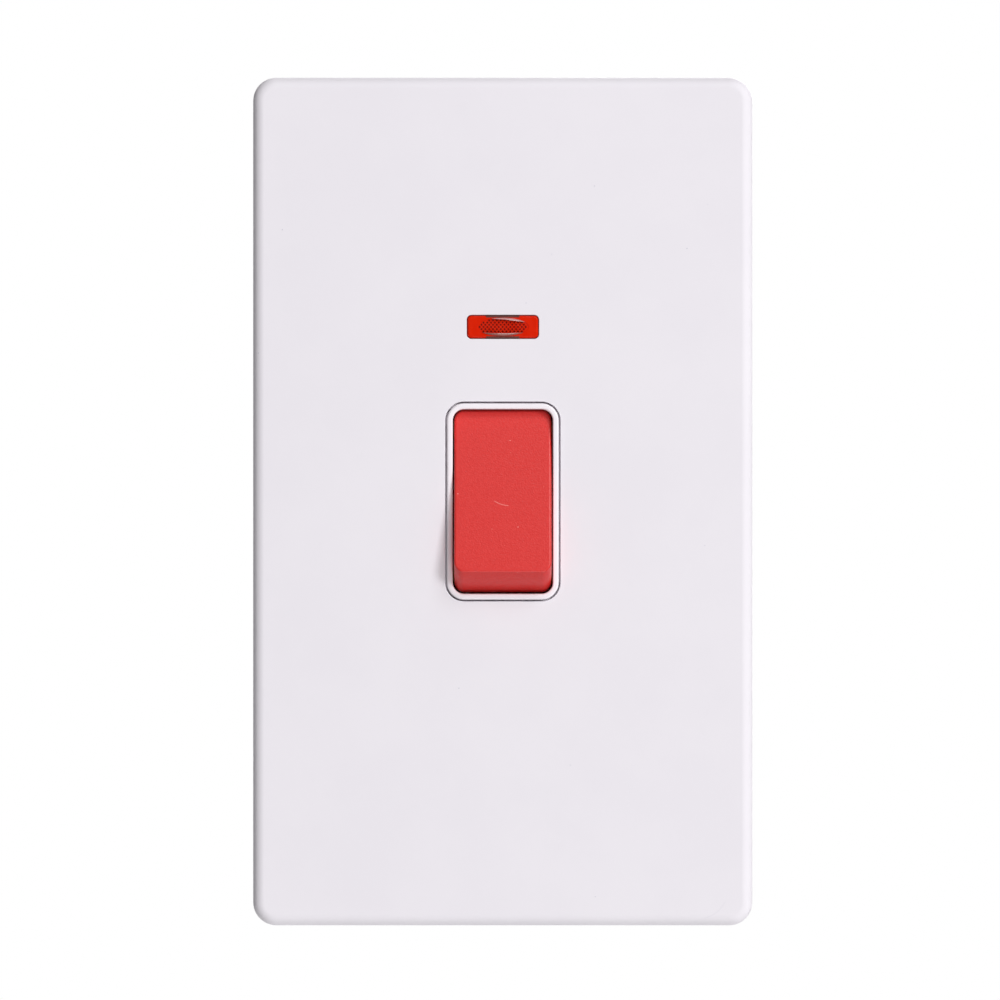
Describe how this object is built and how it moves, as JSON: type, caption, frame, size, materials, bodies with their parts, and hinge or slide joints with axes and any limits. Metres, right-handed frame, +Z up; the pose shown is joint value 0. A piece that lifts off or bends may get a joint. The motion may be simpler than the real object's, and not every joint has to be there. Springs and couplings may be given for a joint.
{
  "type": "double pole switch",
  "caption": "Wall-mounted double pole rocker switch on a tall flat plate, with a red neon indicator; it isolates both supply poles of a fixed appliance.",
  "frame": {"origin": "middle of the two wall box fixing screws, on the wall surface", "axes": "-Y out of the wall towards the user, +X to the user's right, +Z up the plate's long side"},
  "size_m": [0.086, 0.0345, 0.146],
  "materials": {
    "painted_plate": "satin powder coat",
    "white_moulding": "smooth",
    "frame_moulding": "moulded",
    "thermoset": "moulded",
    "red_rocker": "fine grain",
    "red_lens": "clear with a knurled diffuser",
    "acetal": "moulded",
    "brass": "machined",
    "copper": "pressed strip",
    "silver_contact": "satin",
    "zinc_steel": "zinc plated",
    "lamp_glass": "clear",
    "resistor_coat": "lacquered",
    "lead_insulation": "smooth"
  },
  "bodies": {
    "housing": {"body_screw_1": "zinc_steel", "body_screw_2": "zinc_steel", "body_screw_3": "zinc_steel", "body_screw_4": "zinc_steel", "clamp_screw_load_left": "zinc_steel", "clamp_screw_load_right": "zinc_steel", "clamp_screw_supply_left": "zinc_steel", "clamp_screw_supply_right": "zinc_steel", "earth_screw": "zinc_steel", "earth_strap": "zinc_steel", "earth_terminal": "brass", "fixed_contact_left": "silver_contact", "fixed_contact_right": "silver_contact", "fixing_screw_bottom": "zinc_steel", "fixing_screw_top": "zinc_steel", "front_plate": "painted_plate", "lamp_link": "zinc_steel", "load_terminal_left": "brass", "load_terminal_right": "brass", "module_screw_1": "zinc_steel", "module_screw_2": "zinc_steel", "module_screw_3": "zinc_steel", "module_screw_4": "zinc_steel", "neon_holder": "frame_moulding", "neon_lamp": "lamp_glass", "neon_lead_left": "lead_insulation", "neon_lead_right": "lead_insulation", "neon_lens": "red_lens", "neon_resistor": "resistor_coat", "supply_terminal_left": "brass", "supply_terminal_right": "brass", "support_frame": "frame_moulding", "switch_body": "thermoset", "switch_cover": "white_moulding"},
    "rocker": {"rocker": "red_rocker", "plunger_spring_left": "zinc_steel", "plunger_spring_right": "zinc_steel"},
    "plunger_left": {"plunger_left": "acetal"},
    "plunger_right": {"plunger_right": "acetal"},
    "lever_left": {"contact_lever_left": "copper", "moving_contact_left": "silver_contact"},
    "lever_right": {"contact_lever_right": "copper", "moving_contact_right": "silver_contact"}
  },
  "joints": [
    {"name": "rocker_tilt", "type": "hinge", "parent": "housing", "child": "rocker", "pos_m": [0, 0.0009, 0], "axis": [1, 0, 0], "range_deg": [0, 24]},
    {"name": "plunger_left_slide", "type": "slide", "parent": "rocker", "child": "plunger_left", "axis": [0, -0.9781, 0.2079], "range_m": [0, 0.0012], "stiffness_N_per_m": 150, "deforming": ["plunger_spring_left"]},
    {"name": "plunger_right_slide", "type": "slide", "parent": "rocker", "child": "plunger_right", "axis": [0, -0.9781, 0.2079], "range_m": [0, 0.0012], "stiffness_N_per_m": 150, "deforming": ["plunger_spring_right"]},
    {"name": "lever_left_rock", "type": "hinge", "parent": "housing", "child": "lever_left", "pos_m": [0, 0.0129, 0], "axis": [1, 0, 0], "range_deg": [-18, 0]},
    {"name": "lever_right_rock", "type": "hinge", "parent": "housing", "child": "lever_right", "pos_m": [0, 0.0129, 0], "axis": [1, 0, 0], "range_deg": [-18, 0]}
  ],
  "couplings": [
    {"joint": "lever_left_rock", "follows": "rocker_tilt", "ratio": -0.75},
    {"joint": "lever_right_rock", "follows": "rocker_tilt", "ratio": -0.75}
  ]
}
